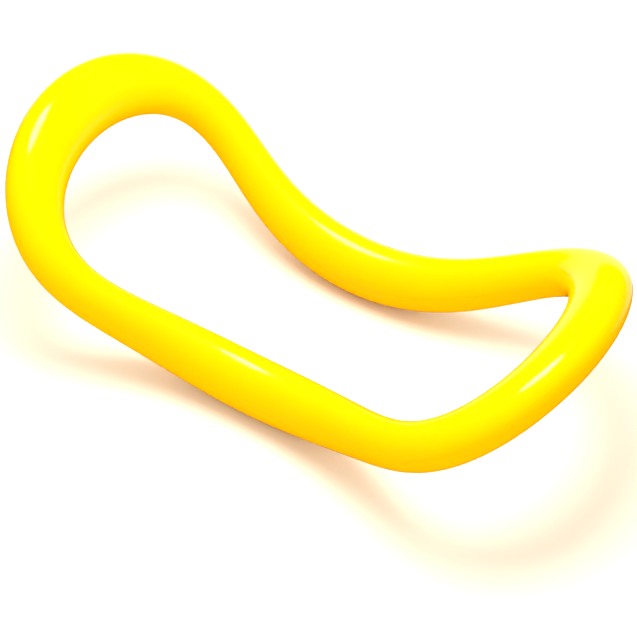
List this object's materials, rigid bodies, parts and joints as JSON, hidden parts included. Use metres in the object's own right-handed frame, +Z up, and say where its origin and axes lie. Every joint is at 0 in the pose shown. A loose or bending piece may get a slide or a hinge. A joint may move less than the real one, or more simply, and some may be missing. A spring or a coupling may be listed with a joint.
{
  "type": "stretching ring",
  "caption": "Saddle-shaped closed loop of hollow plastic tube, pinched at the waist and raised at both ends, made of an upper and a lower half shell.",
  "frame": {"origin": "on the floor under the middle of the loop", "axes": "+X along the loop from end to end, +Y across the loop from limb to limb, +Z up from the floor that the two limbs stand on"},
  "size_m": [0.2346, 0.1206, 0.0759],
  "materials": {
    "yellow_plastic": "high gloss, smooth moulded"
  },
  "bodies": {
    "root": {"lower_shell": "yellow_plastic", "upper_shell": "yellow_plastic"}
  },
  "joints": []
}
